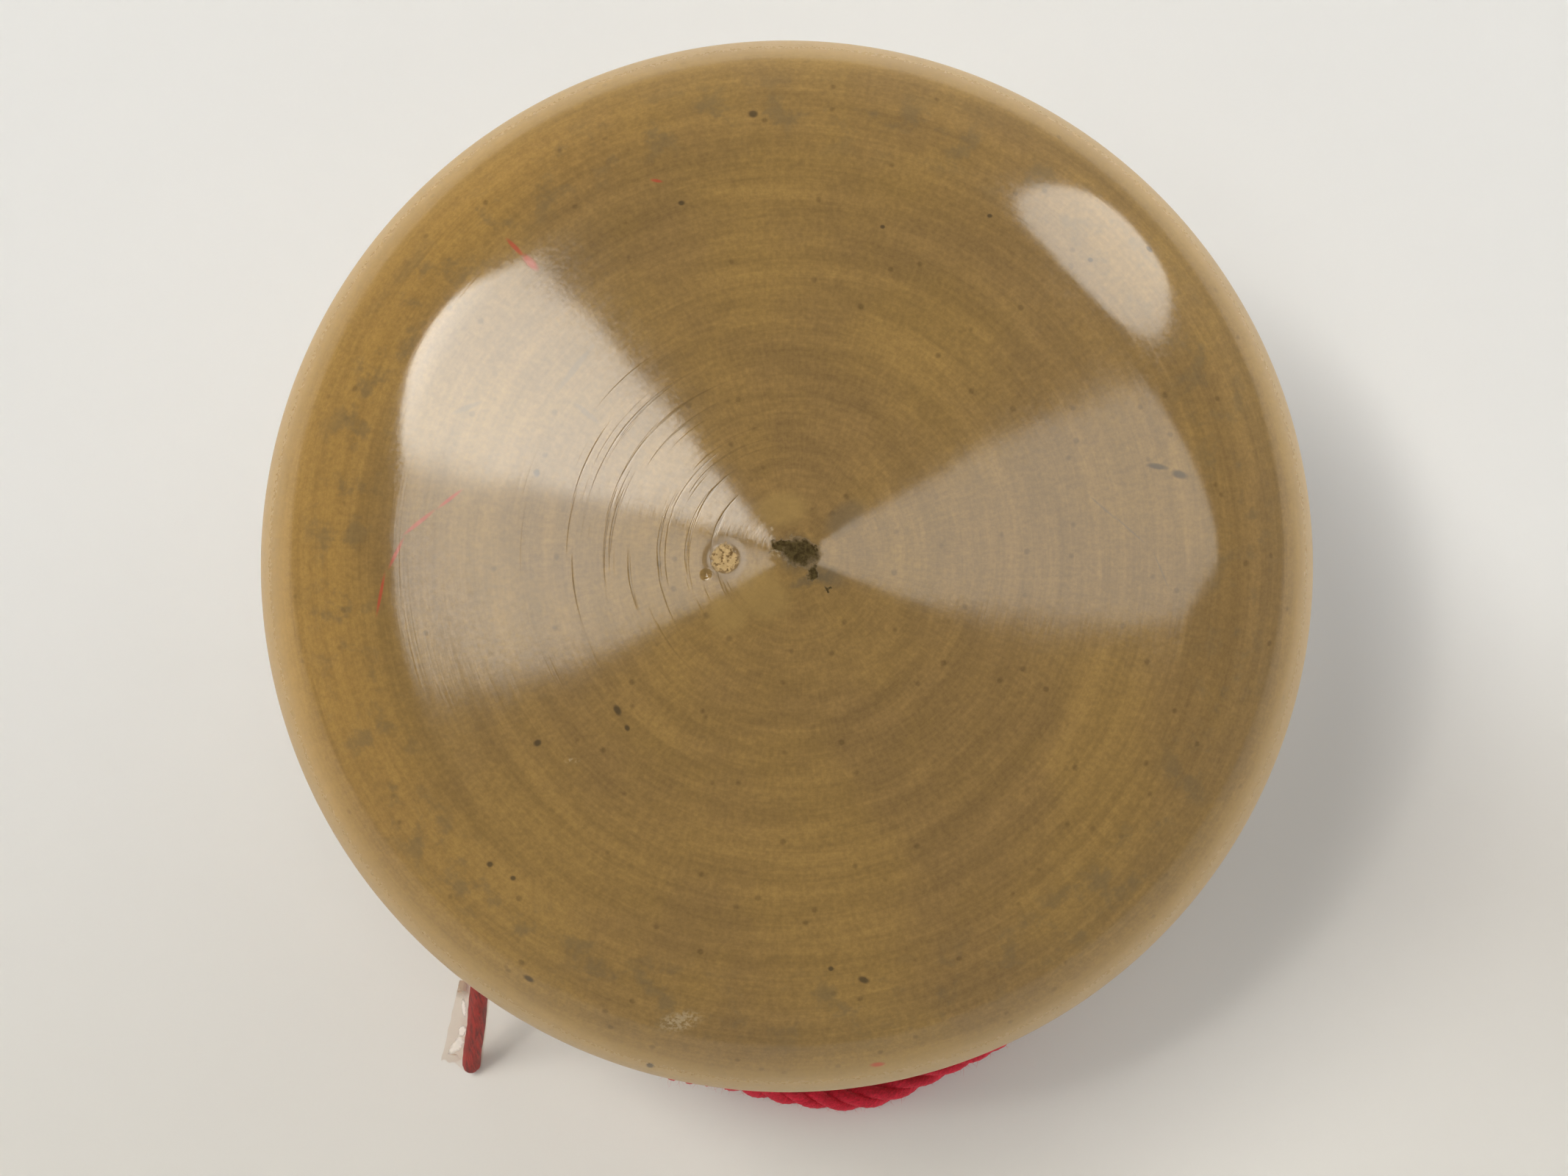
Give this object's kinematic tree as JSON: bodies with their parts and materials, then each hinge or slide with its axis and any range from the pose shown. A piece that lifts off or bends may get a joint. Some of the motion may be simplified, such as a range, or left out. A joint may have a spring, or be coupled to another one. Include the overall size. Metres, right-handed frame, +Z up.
{
  "type": "yo-yo",
  "caption": "Turned wooden yo-yo with cone-shaped faces, lying on its side cone, its red cotton string wound on the axle with a loose turn and a taped end hanging out of the gap.",
  "frame": {"origin": "on the table, right under the centre of the wooden yo-yo as it lies on its lower cone", "axes": "+Z up from the table; +X to the right and +Y to the back as seen from the side where the string hangs out; the axle leans by the cone's slope of 11 degrees from +Z towards -Y"},
  "size_m": [0.057, 0.0587, 0.0334],
  "materials": {
    "lacquered_wood": "turned end grain under clear gloss lacquer, worn",
    "bare_wood": "plain sanded dowel",
    "red_cotton": "two-ply twisted cotton, slightly fuzzy",
    "clear_tape": "clear adhesive tape, creased"
  },
  "bodies": {
    "string": {"wound_string": "red_cotton", "loose_string": "red_cotton", "end_tape": "clear_tape"},
    "spool": {"upper_half": "lacquered_wood", "lower_half": "lacquered_wood", "axle": "bare_wood"}
  },
  "joints": [
    {"name": "axle_spin", "type": "hinge", "parent": "string", "child": "spool", "pos_m": [0, 0, 0.01669], "axis": [0, -0.1908, 0.9816], "continuous": true}
  ]
}
